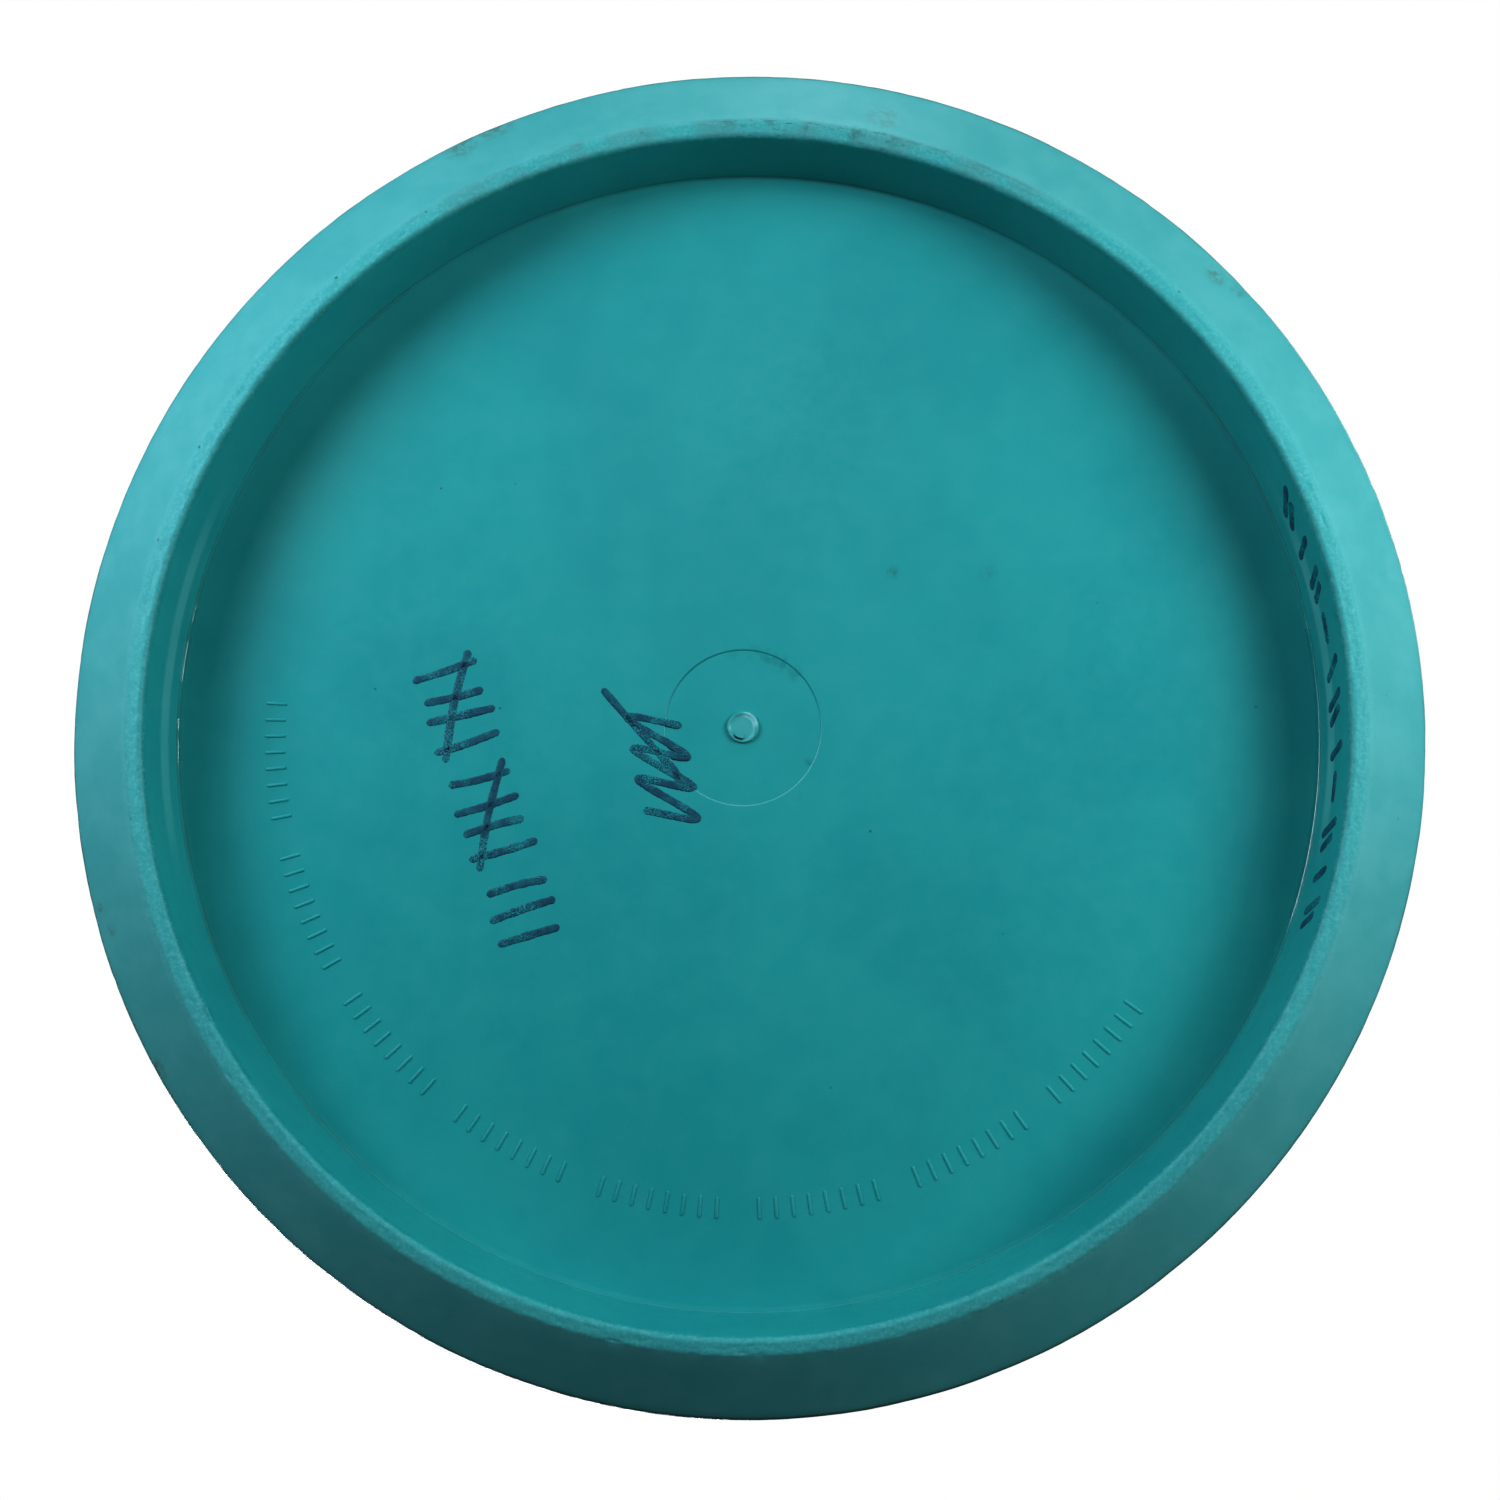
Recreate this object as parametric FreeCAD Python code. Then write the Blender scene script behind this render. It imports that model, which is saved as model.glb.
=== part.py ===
"""Beveled flying disc: a wing-section rim round a shallow domed flight plate.

Frame: millimetres, +Z up through the top of the disc, origin at the centre of
the ring that the lip rests on.  Every section is drawn in the XZ half plane,
with X as the radius, and turned about Z.
"""
import FreeCAD, Part
import math
import os

from FreeCAD import Vector

# Rim: a wing section with a flat lip under it and a blunt nose outside.
outer_diameter = 212.0
nose_height = 8.0
nose_round = 1.8
lower_wing_slope = 31.5
upper_wing_start = 50.0
lip_inner_radius = 92.2
lip_inner_round = 0.35
lip_outer_round = 1.5

# Hollow under the plate.
rim_depth = 13.5
wall_draft = 0.6
corner_round = 0.3

# Flight plate, between the top surface and the underside of the hollow.
joint_radius = 90.4
dome_rise = 2.5
plate_thickness = 2.2

# Round pad left by the mould's centre insert, and the trimmed gate stub on it.
pad_diameter = 25.2
pad_thickness = 1.0
pad_recess = 0.15
stub_diameter = 5.2
stub_height = 0.6
stub_rim_width = 0.5
stub_dish = 0.3

# Raised dashes on the underside, in groups on part of a circle about the axis.
mark_circle_radius = 75.9
mark_length = 3.4
mark_width = 0.55
mark_height = 0.18
mark_pitch = 2.0
mark_first_angle = 216.0
marks_in_group = 8
mark_groups = 8
mark_group_pitch = 19.0

axis_direction = Vector(0, 0, 1)
axis_point = Vector(0, 0, 0)
outer_radius = outer_diameter / 2
corner_radius = lip_inner_radius - wall_draft
dome_radius = (corner_radius**2 + dome_rise**2) / (2 * dome_rise)


def at(radius, height):
    """A point of the section, at a radius from the axis and a height."""
    return Vector(radius, 0, height)


def underside(radius):
    """Height of the domed underside at a radius from the axis."""
    crown = rim_depth + dome_rise
    return crown - dome_radius + math.sqrt(dome_radius**2 - radius**2)


def topside(radius):
    """Height of the domed top at a radius from the axis."""
    return underside(radius) + plate_thickness


def line(start, end):
    return Part.LineSegment(start, end).toShape()


def arc(start, middle, end):
    return Part.Arc(start, middle, end).toShape()


def arc_from_tangent(start, direction, end):
    """The arc that leaves start along direction and reaches end."""
    chord = end - start
    turn = math.atan2(chord.z, chord.x) - math.atan2(direction.z, direction.x)
    sagitta = chord.Length / 2 * math.tan(turn / 2)
    normal = Vector(chord.z, 0, -chord.x).normalize()
    return arc(start, (start + end) / 2 + normal * sagitta, end)


def dome_arc(height_at, inner_radius, end_radius, offset=0.0):
    """The arc of a domed surface from one radius to another."""
    radii = (inner_radius, (inner_radius + end_radius) / 2, end_radius)
    return arc(*(at(radius, height_at(radius) + offset) for radius in radii))


def corner_arc(corner, before, after, radius):
    """The round of a corner, as an arc from the side of before to that of after."""
    to_before = (before - corner).normalize()
    to_after = (after - corner).normalize()
    half_angle = to_before.getAngle(to_after) / 2
    reach = radius / math.tan(half_angle)
    bisector = (to_before + to_after).normalize()
    centre = corner + bisector * (radius / math.sin(half_angle))
    start = corner + to_before * reach
    end = corner + to_after * reach
    return arc(start, centre - bisector * radius, end)


def first_point(edge):
    return edge.valueAt(edge.FirstParameter)


def last_point(edge):
    return edge.valueAt(edge.LastParameter)


def turned_solid(edges):
    """The solid swept by a closed section turned about the Z axis."""
    section = Part.Face(Part.Wire(edges))
    return section.revolve(axis_point, axis_direction, 360)


def make_rim():
    """Wall, lip, lower wing, nose and upper wing, down to the plate's joint."""
    slope = math.radians(lower_wing_slope)
    rise = math.radians(upper_wing_start)
    nose_centre = at(outer_radius - nose_round, nose_height)
    nose_low = nose_centre + Vector(math.sin(slope), 0, -math.cos(slope)) * nose_round
    nose_high = nose_centre + Vector(math.cos(rise), 0, math.sin(rise)) * nose_round
    nose_tip = nose_centre + Vector(nose_round, 0, 0)

    lip_outer = at(nose_low.x - nose_low.z / math.tan(slope), 0)
    lip_inner = at(lip_inner_radius, 0)
    corner = at(corner_radius, rim_depth)
    joint_low = at(joint_radius, underside(joint_radius))
    joint_high = at(joint_radius, topside(joint_radius))

    inner_lip_arc = corner_arc(lip_inner, corner, lip_outer, lip_inner_round)
    outer_lip_arc = corner_arc(lip_outer, lip_inner, nose_low, lip_outer_round)
    wall_arc = corner_arc(corner, joint_low, lip_inner, corner_round)
    return turned_solid([
        line(joint_low, first_point(wall_arc)),
        wall_arc,
        line(last_point(wall_arc), first_point(inner_lip_arc)),
        inner_lip_arc,
        line(last_point(inner_lip_arc), first_point(outer_lip_arc)),
        outer_lip_arc,
        line(last_point(outer_lip_arc), nose_low),
        arc(nose_low, nose_tip, nose_high),
        arc_from_tangent(nose_high, Vector(-math.sin(rise), 0, math.cos(rise)), joint_high),
        line(joint_high, joint_low),
    ])


def pad_face_height():
    """Height of the pad's lower face, set up into the plate by the recess."""
    return underside(pad_diameter / 2) + pad_recess


def make_flight_plate():
    """Domed plate with a round pocket under its centre for the gate pad."""
    pad_radius = pad_diameter / 2
    pocket_top = pad_face_height() + pad_thickness
    return turned_solid([
        line(at(0, pocket_top), at(pad_radius, pocket_top)),
        line(at(pad_radius, pocket_top), at(pad_radius, underside(pad_radius))),
        dome_arc(underside, pad_radius, joint_radius),
        line(at(joint_radius, underside(joint_radius)), at(joint_radius, topside(joint_radius))),
        dome_arc(topside, joint_radius, 0),
        line(at(0, topside(0)), at(0, pocket_top)),
    ])


def make_gate_pad():
    base = Vector(0, 0, pad_face_height())
    return Part.makeCylinder(pad_diameter / 2, pad_thickness, base)


def make_gate_stub():
    """Trimmed gate stub: a short round boss with a dished face."""
    base = pad_face_height()
    tip = base - stub_height
    radius = stub_diameter / 2
    dish_radius = radius - stub_rim_width
    return turned_solid([
        line(at(0, base), at(radius, base)),
        line(at(radius, base), at(radius, tip)),
        line(at(radius, tip), at(dish_radius, tip)),
        arc_from_tangent(at(0, tip + stub_dish), Vector(1, 0, 0), at(dish_radius, tip)),
        line(at(0, tip + stub_dish), at(0, base)),
    ])


def make_raised_marks():
    """Short radial dashes cut from one thin band that follows the underside."""
    inner = mark_circle_radius - mark_length / 2
    outer = mark_circle_radius + mark_length / 2
    band = turned_solid([
        dome_arc(underside, inner, outer),
        line(at(outer, underside(outer)), at(outer, underside(outer) - mark_height)),
        dome_arc(underside, outer, inner, offset=-mark_height),
        line(at(inner, underside(inner) - mark_height), at(inner, underside(inner))),
    ])
    cutter_start = Vector(0, -mark_width / 2, 0)
    dashes = []
    for group in range(mark_groups):
        group_angle = mark_first_angle + group * mark_group_pitch
        for number in range(marks_in_group):
            cutter = Part.makeBox(outer_radius, mark_width, rim_depth + dome_rise, cutter_start)
            cutter.rotate(axis_point, axis_direction, group_angle + number * mark_pitch)
            dashes.extend(band.common(cutter).Solids)
    return Part.makeCompound(dashes)


def main():
    nodes = {
        "rim": make_rim(),
        "flight_plate": make_flight_plate(),
        "gate_pad": make_gate_pad(),
        "gate_stub": make_gate_stub(),
        "raised_marks": make_raised_marks(),
    }
    os.makedirs("parts", exist_ok=True)
    for name, shape in nodes.items():
        shape.exportStep(f"parts/{name}.step")
        box = shape.optimalBoundingBox(False, False)
        print(f"{name}: {len(shape.Solids)} solids, {shape.Volume:.1f} mm3, valid {shape.isValid()},"
              f" x to {box.XMax:.3f}, z {box.ZMin:.3f} to {box.ZMax:.3f}")


main()
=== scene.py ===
"""Looks of the flying disc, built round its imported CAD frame. Metres, +Z up through the disc's top."""
import math

import bpy
import numpy as np
from mathutils import Matrix, Vector


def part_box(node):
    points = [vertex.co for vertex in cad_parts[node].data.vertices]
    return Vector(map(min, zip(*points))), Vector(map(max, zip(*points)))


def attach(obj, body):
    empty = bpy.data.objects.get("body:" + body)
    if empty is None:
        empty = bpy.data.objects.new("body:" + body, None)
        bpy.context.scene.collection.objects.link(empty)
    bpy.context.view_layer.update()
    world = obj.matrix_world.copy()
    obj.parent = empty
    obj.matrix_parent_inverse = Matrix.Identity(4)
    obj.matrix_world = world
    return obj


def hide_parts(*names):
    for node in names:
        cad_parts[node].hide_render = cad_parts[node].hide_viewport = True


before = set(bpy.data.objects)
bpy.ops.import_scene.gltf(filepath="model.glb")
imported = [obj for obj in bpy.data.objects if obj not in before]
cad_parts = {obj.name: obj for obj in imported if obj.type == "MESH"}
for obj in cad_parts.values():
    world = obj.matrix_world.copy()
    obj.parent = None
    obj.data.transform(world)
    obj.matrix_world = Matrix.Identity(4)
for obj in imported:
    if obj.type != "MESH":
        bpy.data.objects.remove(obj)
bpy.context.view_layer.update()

MM = 0.001
FULL_TURN = 2 * math.pi

# Sizes that the CAD nodes' boxes give.
rim_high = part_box("rim")[1]
plate_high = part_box("flight_plate")[1]
pad_low, pad_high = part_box("gate_pad")
stub_low, stub_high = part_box("gate_stub")
OUTER_RADIUS = rim_high.x
JOINT_RADIUS = plate_high.x
PAD_RADIUS = pad_high.x
STUB_RADIUS = stub_high.x

# Sizes of the section that lie inside those boxes.
NOSE_HEIGHT = 8.0 * MM
NOSE_ROUND = 1.8 * MM
LOWER_WING_SLOPE = math.radians(31.5)
UPPER_WING_START = math.radians(50)
LIP_INNER_RADIUS = 92.2 * MM
LIP_INNER_ROUND = 0.80 * MM
LIP_OUTER_ROUND = 1.5 * MM
LIP_WORN_WIDTH = 3.4 * MM
RIM_DEPTH = 13.5 * MM
CORNER_RADIUS = 91.6 * MM
CORNER_ROUND = 0.3 * MM
DOME_RISE = 2.5 * MM
PLATE_THICKNESS = 2.2 * MM
DOME_RADIUS = (CORNER_RADIUS**2 + DOME_RISE**2) / (2 * DOME_RISE)

# Raised dashes under the plate.
MARK_CIRCLE_RADIUS = 75.9 * MM
MARK_LENGTH = 3.4 * MM
MARK_WIDTH = 0.55 * MM
MARK_HEIGHT = 0.16 * MM
MARK_PITCH = 2.0
MARK_FIRST_ANGLE = 216.0
MARKS_IN_GROUP = 8
MARK_GROUPS = 8
MARK_GROUP_PITCH = 19.0

# Small depths of wear and moulding.
WITNESS_SLOPE = 0.17 * MM
WITNESS_RINGS = (0.03 * MM, 0.12 * MM)
PLATE_WAVE = 0.03 * MM
PAD_CLEARANCE = 0.01 * MM
PAD_CHAMFER = 0.03 * MM
PAD_SEAT = 0.02 * MM
TURNING_DEPTH = 0.006 * MM
TURNING_PITCH = 0.9 * MM
SUNK = 0.08 * MM

# Marker strokes.
INK_LIFT = 0.03 * MM
INK_STEP = 0.22 * MM
INK_COLUMNS = 5
TALLY_WIDTH = 1.45 * MM
SCRIBBLE_WIDTH = 1.35 * MM
WALL_TICK_WIDTH = 1.65 * MM

# How finely the turned pieces are cut.
PLATE_RINGS = 56
PAD_RINGS = 14
RIM_SEGMENTS = 1440
PLATE_SEGMENTS = 480
PAD_SEGMENTS = 240
STUB_SEGMENTS = 120
FLOOR_SEGMENTS = 96

# Seeds of everything that is random.
WEAR_SEEDS = (1, 2, 3, 4, 5)
DENT_SEED = 11
TORN_SEEDS = (21, 22, 23)
TALLY_PLACE_SEED = 5
TICK_PLACE_SEED = 8
TALLY_SEED = 31
SCRIBBLE_SEED = 32
WALL_TICK_SEED = 33

CENTRE = (0, 0, NOSE_HEIGHT)


# ---------------------------------------------------------------- shape helpers
def underside(radius):
    """Height of the plate's domed underside."""
    return RIM_DEPTH + DOME_RISE - DOME_RADIUS + np.sqrt(DOME_RADIUS**2 - radius**2)


def topside(radius):
    """Height of the plate's domed top."""
    return underside(radius) + PLATE_THICKNESS


def smoothstep(low, high, value):
    share = np.clip((value - low) / (high - low), 0, 1)
    return share * share * (3 - 2 * share)


def band(low, high, soft, value):
    """1 between low and high, falling to 0 over soft on each side."""
    return smoothstep(low - soft, low, value) * (1 - smoothstep(high, high + soft, value))


def ring_noise(angle, level, cells, seed):
    """Smooth noise, -1 to 1, over a turned surface: so many cells round the turn, one per unit of level."""
    level = level - level.min()
    values = np.random.default_rng(seed).uniform(-1, 1, (cells, int(level.max()) + 2))
    across = (angle / FULL_TURN * cells) % cells
    a0 = across.astype(int) % cells
    b0 = level.astype(int)
    fa, fb = across - np.floor(across), level - b0
    fa, fb = fa * fa * (3 - 2 * fa), fb * fb * (3 - 2 * fb)
    a1, b1 = (a0 + 1) % cells, b0 + 1
    low = values[a0, b0] * (1 - fa) + values[a1, b0] * fa
    high = values[a0, b1] * (1 - fa) + values[a1, b1] * fa
    return low * (1 - fb) + high * fb


def plate_wave(x, y):
    """The slow unevenness of the moulded plate, in metres, nothing at its edge."""
    radius = np.hypot(x, y)
    inside = 1 - smoothstep(0.75 * JOINT_RADIUS, 0.97 * JOINT_RADIUS, radius)
    wave = np.sin(x * 52 + 1.3) * np.cos(y * 61 - 0.4) + 0.6 * np.sin((x + y) * 96 + 2.1)
    return PLATE_WAVE * inside * wave


# ---------------------------------------------------------------- section outlines
def arc_points(centre, radius, start, end, count):
    """Points of a round stretch of the section, from one angle to another."""
    angles = np.linspace(start, end, count)
    return np.stack([centre[0] + radius * np.cos(angles), centre[1] + radius * np.sin(angles)], 1)


def line_points(start, end, count):
    """Points between two ends of a straight stretch, without the ends."""
    share = np.linspace(0, 1, count + 2)[1:-1, None]
    return np.asarray(start) * (1 - share) + np.asarray(end) * share


def corner_points(corner, before, after, radius, count):
    """Points of a rounded corner, from the side of before to the side of after."""
    corner, before, after = (np.asarray(p, float) for p in (corner, before, after))
    u = (before - corner) / np.linalg.norm(before - corner)
    v = (after - corner) / np.linalg.norm(after - corner)
    half = math.acos(float(u @ v)) / 2
    bisector = (u + v) / np.linalg.norm(u + v)
    centre = corner + bisector * radius / math.sin(half)
    first = corner + u * radius / math.tan(half) - centre
    last = corner + v * radius / math.tan(half) - centre
    start = math.atan2(first[1], first[0])
    sweep = (math.atan2(last[1], last[0]) - start + math.pi) % FULL_TURN - math.pi
    return arc_points(centre, radius, start, start + sweep, count)


def tangent_arc_points(start, direction, end, count):
    """Points of the arc that leaves start along direction and reaches end, without start."""
    start, end = np.asarray(start, float), np.asarray(end, float)
    d = np.asarray(direction, float) / np.linalg.norm(direction)
    normal = np.array([-d[1], d[0]])
    chord = end - start
    reach = float(chord @ chord) / (2 * float(chord @ normal))
    centre = start + normal * reach
    a = math.atan2(*(start - centre)[::-1])
    b = math.atan2(*(end - centre)[::-1])
    sweep = (b - a + math.pi) % FULL_TURN - math.pi
    return arc_points(centre, abs(reach), a, a + sweep, count + 1)[1:]


def rim_section():
    """The rim's outline as (radius, height) points: wall, lip, lower wing, nose and upper wing."""
    nose = np.array([OUTER_RADIUS - NOSE_ROUND, NOSE_HEIGHT])
    nose_low = nose + NOSE_ROUND * np.array([math.sin(LOWER_WING_SLOPE), -math.cos(LOWER_WING_SLOPE)])
    lip_outer = (nose_low[0] - nose_low[1] / math.tan(LOWER_WING_SLOPE), 0.0)
    lip_inner = (LIP_INNER_RADIUS, 0.0)
    corner = (CORNER_RADIUS, RIM_DEPTH)
    joint_low = (JOINT_RADIUS, underside(JOINT_RADIUS))
    joint_high = (JOINT_RADIUS, topside(JOINT_RADIUS))
    corner_arc = corner_points(corner, joint_low, lip_inner, CORNER_ROUND, 6)
    inner_arc = corner_points(lip_inner, corner, lip_outer, LIP_INNER_ROUND, 5)
    outer_arc = corner_points(lip_outer, lip_inner, nose_low, LIP_OUTER_ROUND, 6)
    nose_arc = arc_points(nose, NOSE_ROUND, LOWER_WING_SLOPE - math.pi / 2, UPPER_WING_START, 10)
    leaving = (-math.sin(UPPER_WING_START), math.cos(UPPER_WING_START))
    parts = [
        [joint_low],
        corner_arc,
        line_points(corner_arc[-1], inner_arc[0], 6),
        inner_arc,
        line_points(inner_arc[-1], outer_arc[0], 6),
        outer_arc,
        line_points(outer_arc[-1], nose_arc[0], 10),
        nose_arc,
        tangent_arc_points(nose_arc[-1], leaving, joint_high, 14),
    ]
    return np.concatenate(parts)


def plate_section():
    """The plate's outline: the pocket for the pad, the domed underside and the domed top."""
    pocket = pad_high.z
    step = PAD_RADIUS + WITNESS_SLOPE
    close_rings = [step + gap for gap in (0, *WITNESS_RINGS)]
    low = np.concatenate([close_rings, np.linspace(step, JOINT_RADIUS, PLATE_RINGS)[1:]])
    high = np.linspace(JOINT_RADIUS, 0, PLATE_RINGS)
    return np.concatenate([
        [(0, pocket), (PAD_RADIUS, pocket), (PAD_RADIUS, pad_low.z)],
        np.stack([low, underside(low)], 1),
        np.stack([high, topside(high)], 1),
    ])


# ---------------------------------------------------------------- mesh helpers
def new_piece(name, verts, faces, sharp_degrees=40):
    """A smooth-shaded piece, with edges sharper than so many degrees left sharp."""
    mesh = bpy.data.meshes.new(name)
    mesh.from_pydata(np.asarray(verts, float).tolist(), [], faces)
    mesh.validate()
    for polygon in mesh.polygons:
        polygon.use_smooth = True
    mesh.set_sharp_from_angle(angle=math.radians(sharp_degrees))
    piece = bpy.data.objects.new(name, mesh)
    bpy.context.scene.collection.objects.link(piece)
    return piece


def turned_grid(section, segments):
    """Angles, radii and heights of the section turned about Z, one row per section point."""
    angles = np.arange(segments) / segments * FULL_TURN
    angle = np.broadcast_to(angles, (len(section), segments))
    radius = np.broadcast_to(section[:, :1], angle.shape)
    height = np.broadcast_to(section[:, 1:], angle.shape)
    return angle, radius.copy(), height.copy()


def section_normals(section, closed):
    """The outline's outward normals, from its neighbours."""
    ahead = np.roll(section, -1, 0) - section
    behind = section - np.roll(section, 1, 0)
    if not closed:
        ahead[-1], behind[0] = behind[-1], ahead[0]
    along = ahead / np.linalg.norm(ahead, axis=1, keepdims=True)
    along = along + behind / np.linalg.norm(behind, axis=1, keepdims=True)
    along /= np.linalg.norm(along, axis=1, keepdims=True)
    return np.stack([along[:, 1], -along[:, 0]], 1)


def turned_mesh(angle, radius, height, closed):
    """Vertices and faces of a turned grid. A row on the axis becomes one vertex."""
    rows, segments = angle.shape
    verts, rings = [], []
    for i in range(rows):
        first = sum(len(ring) for ring in rings)
        if radius[i].max() < 1e-9:
            rings.append([first])
            verts.append([[0, 0, height[i].mean()]])
            continue
        rings.append(list(range(first, first + segments)))
        verts.append(np.stack([radius[i] * np.cos(angle[i]), radius[i] * np.sin(angle[i]), height[i]], 1))
    pairs = list(zip(rings, rings[1:]))
    if closed:
        pairs.append((rings[-1], rings[0]))
    faces = []
    for low, high in pairs:
        for i in range(segments):
            j = (i + 1) % segments
            if len(low) == 1:
                faces.append((low[0], high[j], high[i]))
            elif len(high) == 1:
                faces.append((low[i], low[j], high[0]))
            else:
                faces.append((low[i], low[j], high[j], high[i]))
    return np.concatenate(verts), faces


# ---------------------------------------------------------------- the rim
# Dents: (angle in degrees, radius and height of the middle, length round the rim, width across it, depth).
RIM_DENTS = (
    (167.6, 102.4 * MM, 4.8 * MM, 1.2 * MM, 0.7 * MM, 0.25 * MM),
    (330.6, LIP_INNER_RADIUS, 0.3 * MM, 3.6 * MM, 0.45 * MM, 0.50 * MM),
    (306.0, OUTER_RADIUS, NOSE_HEIGHT, 5.0 * MM, 1.5 * MM, 0.30 * MM),
    (313.0, OUTER_RADIUS, NOSE_HEIGHT, 3.0 * MM, 1.2 * MM, 0.35 * MM),
    (321.0, OUTER_RADIUS, NOSE_HEIGHT, 6.0 * MM, 1.5 * MM, 0.22 * MM),
    (58.0, OUTER_RADIUS, NOSE_HEIGHT, 3.0 * MM, 1.4 * MM, 0.25 * MM),
    (140.0, OUTER_RADIUS, NOSE_HEIGHT, 2.5 * MM, 1.2 * MM, 0.25 * MM),
    (232.0, OUTER_RADIUS, NOSE_HEIGHT + 0.8 * MM, 3.0 * MM, 1.2 * MM, 0.30 * MM),
)
SMALL_DENTS = 70


def small_dents():
    """Seeded small dents on the nose and the lip, where a disc lands and skids."""
    draw = np.random.default_rng(DENT_SEED)
    dents = []
    for number in range(SMALL_DENTS):
        on_nose = number % 2 == 0
        radius = OUTER_RADIUS if on_nose else LIP_INNER_RADIUS + draw.uniform(0, LIP_WORN_WIDTH / MM) * MM
        height = NOSE_HEIGHT + draw.uniform(-1.2, 1.6) * MM if on_nose else 0.0
        dents.append((draw.uniform(0, 360), radius, height, draw.uniform(0.6, 1.8) * MM,
                      draw.uniform(0.4, 0.8) * MM, draw.uniform(0.05, 0.16) * MM))
    return dents


def dent_depth(angle, radius, height, dents):
    """How deep all the dents together are, at each point of a turned grid."""
    depth = np.zeros(angle.shape)
    for degrees, at_radius, at_height, length, width, deep in dents:
        turn = (angle - math.radians(degrees) + math.pi) % FULL_TURN - math.pi
        along = turn * at_radius / (length / 2)
        across = np.hypot(radius - at_radius, height - at_height) / (width / 2)
        depth += deep * np.exp(-(along**2 + across**2))
    return depth


def make_rim():
    """The rim, its surface moved in or out along its normals by wear, bumps, the parting line and dents."""
    section = rim_section()
    normals = section_normals(section, closed=True)
    angle, radius, height = turned_grid(section, RIM_SEGMENTS)
    run = np.concatenate([[0], np.cumsum(np.linalg.norm(np.diff(section, axis=0), axis=1))])
    along = np.broadcast_to((run / MM)[:, None], angle.shape)

    on_lip = band(LIP_INNER_RADIUS - 0.5 * MM, LIP_INNER_RADIUS + LIP_WORN_WIDTH, 0.6 * MM, radius)
    on_lip = on_lip * (1 - smoothstep(0.2 * MM, 1.4 * MM, height))
    on_nose = 1 - smoothstep(0.5 * NOSE_ROUND, 1.8 * NOSE_ROUND,
                             np.hypot(radius - OUTER_RADIUS, height - NOSE_HEIGHT))
    at_edge = np.exp(-(((radius - LIP_INNER_RADIUS) / (0.5 * MM)) ** 2 + (height / (0.5 * MM)) ** 2))
    coarse, fine, nose_coarse, nose_fine, edge = WEAR_SEEDS
    worn = 0.05 + 0.03 * ring_noise(angle, along / 1.2, 260, coarse)
    worn = worn + 0.03 * ring_noise(angle, along / 0.5, 720, fine)
    worn = worn + at_edge * (0.06 + 0.10 * ring_noise(angle, along / 4.0, 640, edge))
    bumps = 0.035 * ring_noise(angle, along / 3.0, 90, nose_coarse)
    bumps = bumps + 0.02 * ring_noise(angle, along / 0.7, 480, nose_fine)
    parting = 0.06 * np.exp(-((height - NOSE_HEIGHT + 0.5 * MM) / (0.12 * MM)) ** 2) * on_nose
    shift = (-on_lip * np.maximum(worn, 0) + on_nose * (bumps + parting)) * MM
    shift -= dent_depth(angle, radius, height, RIM_DENTS + tuple(small_dents()))

    radius += shift * normals[:, :1]
    height += shift * normals[:, 1:]
    return new_piece("rim_moulding", *turned_mesh(angle, radius, height, closed=True))


# ---------------------------------------------------------------- the flight plate, gate pad and stub
def make_plate():
    """The flight plate, with a slow wave in its underside."""
    section = plate_section()
    angle, radius, height = turned_grid(section, PLATE_SEGMENTS)
    under = (section[:, 0] > 1.01 * PAD_RADIUS)[:, None]
    height += under * plate_wave(radius * np.cos(angle), radius * np.sin(angle))
    return new_piece("flight_plate_moulding", *turned_mesh(angle, radius, height, closed=False))


def make_pad():
    """The round spot that the mould's centre insert leaves, turned very slightly rough."""
    outside = PAD_RADIUS - PAD_CLEARANCE
    flat = outside - PAD_CHAMFER
    seat = pad_high.z - PAD_SEAT
    face = np.stack([np.linspace(0, flat, PAD_RINGS), np.full(PAD_RINGS, pad_low.z)], 1)
    section = np.concatenate([face, [(outside, pad_low.z + PAD_CHAMFER), (outside, seat), (0, seat)]])
    angle, radius, height = turned_grid(section, PAD_SEGMENTS)
    turning = TURNING_DEPTH * np.sin(radius / TURNING_PITCH * FULL_TURN)
    height += np.where(radius < flat, turning, 0)
    return new_piece("gate_pad_moulding", *turned_mesh(angle, radius, height, closed=False))


# The stub's section, as shares of its radius and height: its face, the slit, the torn ring and its side.
STUB_OUTLINE = ((0.00, 0.42), (0.40, 0.46), (0.70, 0.50), (0.75, 0.45), (0.80, 0.25), (0.86, 0.0),
                (0.92, 0.0), (0.965, 0.2), (0.99, 0.7))
WIDE_SIDE = math.radians(135)
SLIT_MIDDLE = math.radians(292)
SLIT_HALF = math.radians(38)
SLIT_DEPTH = 0.26 * MM
TORN_HEIGHT = 0.10 * MM


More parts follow.
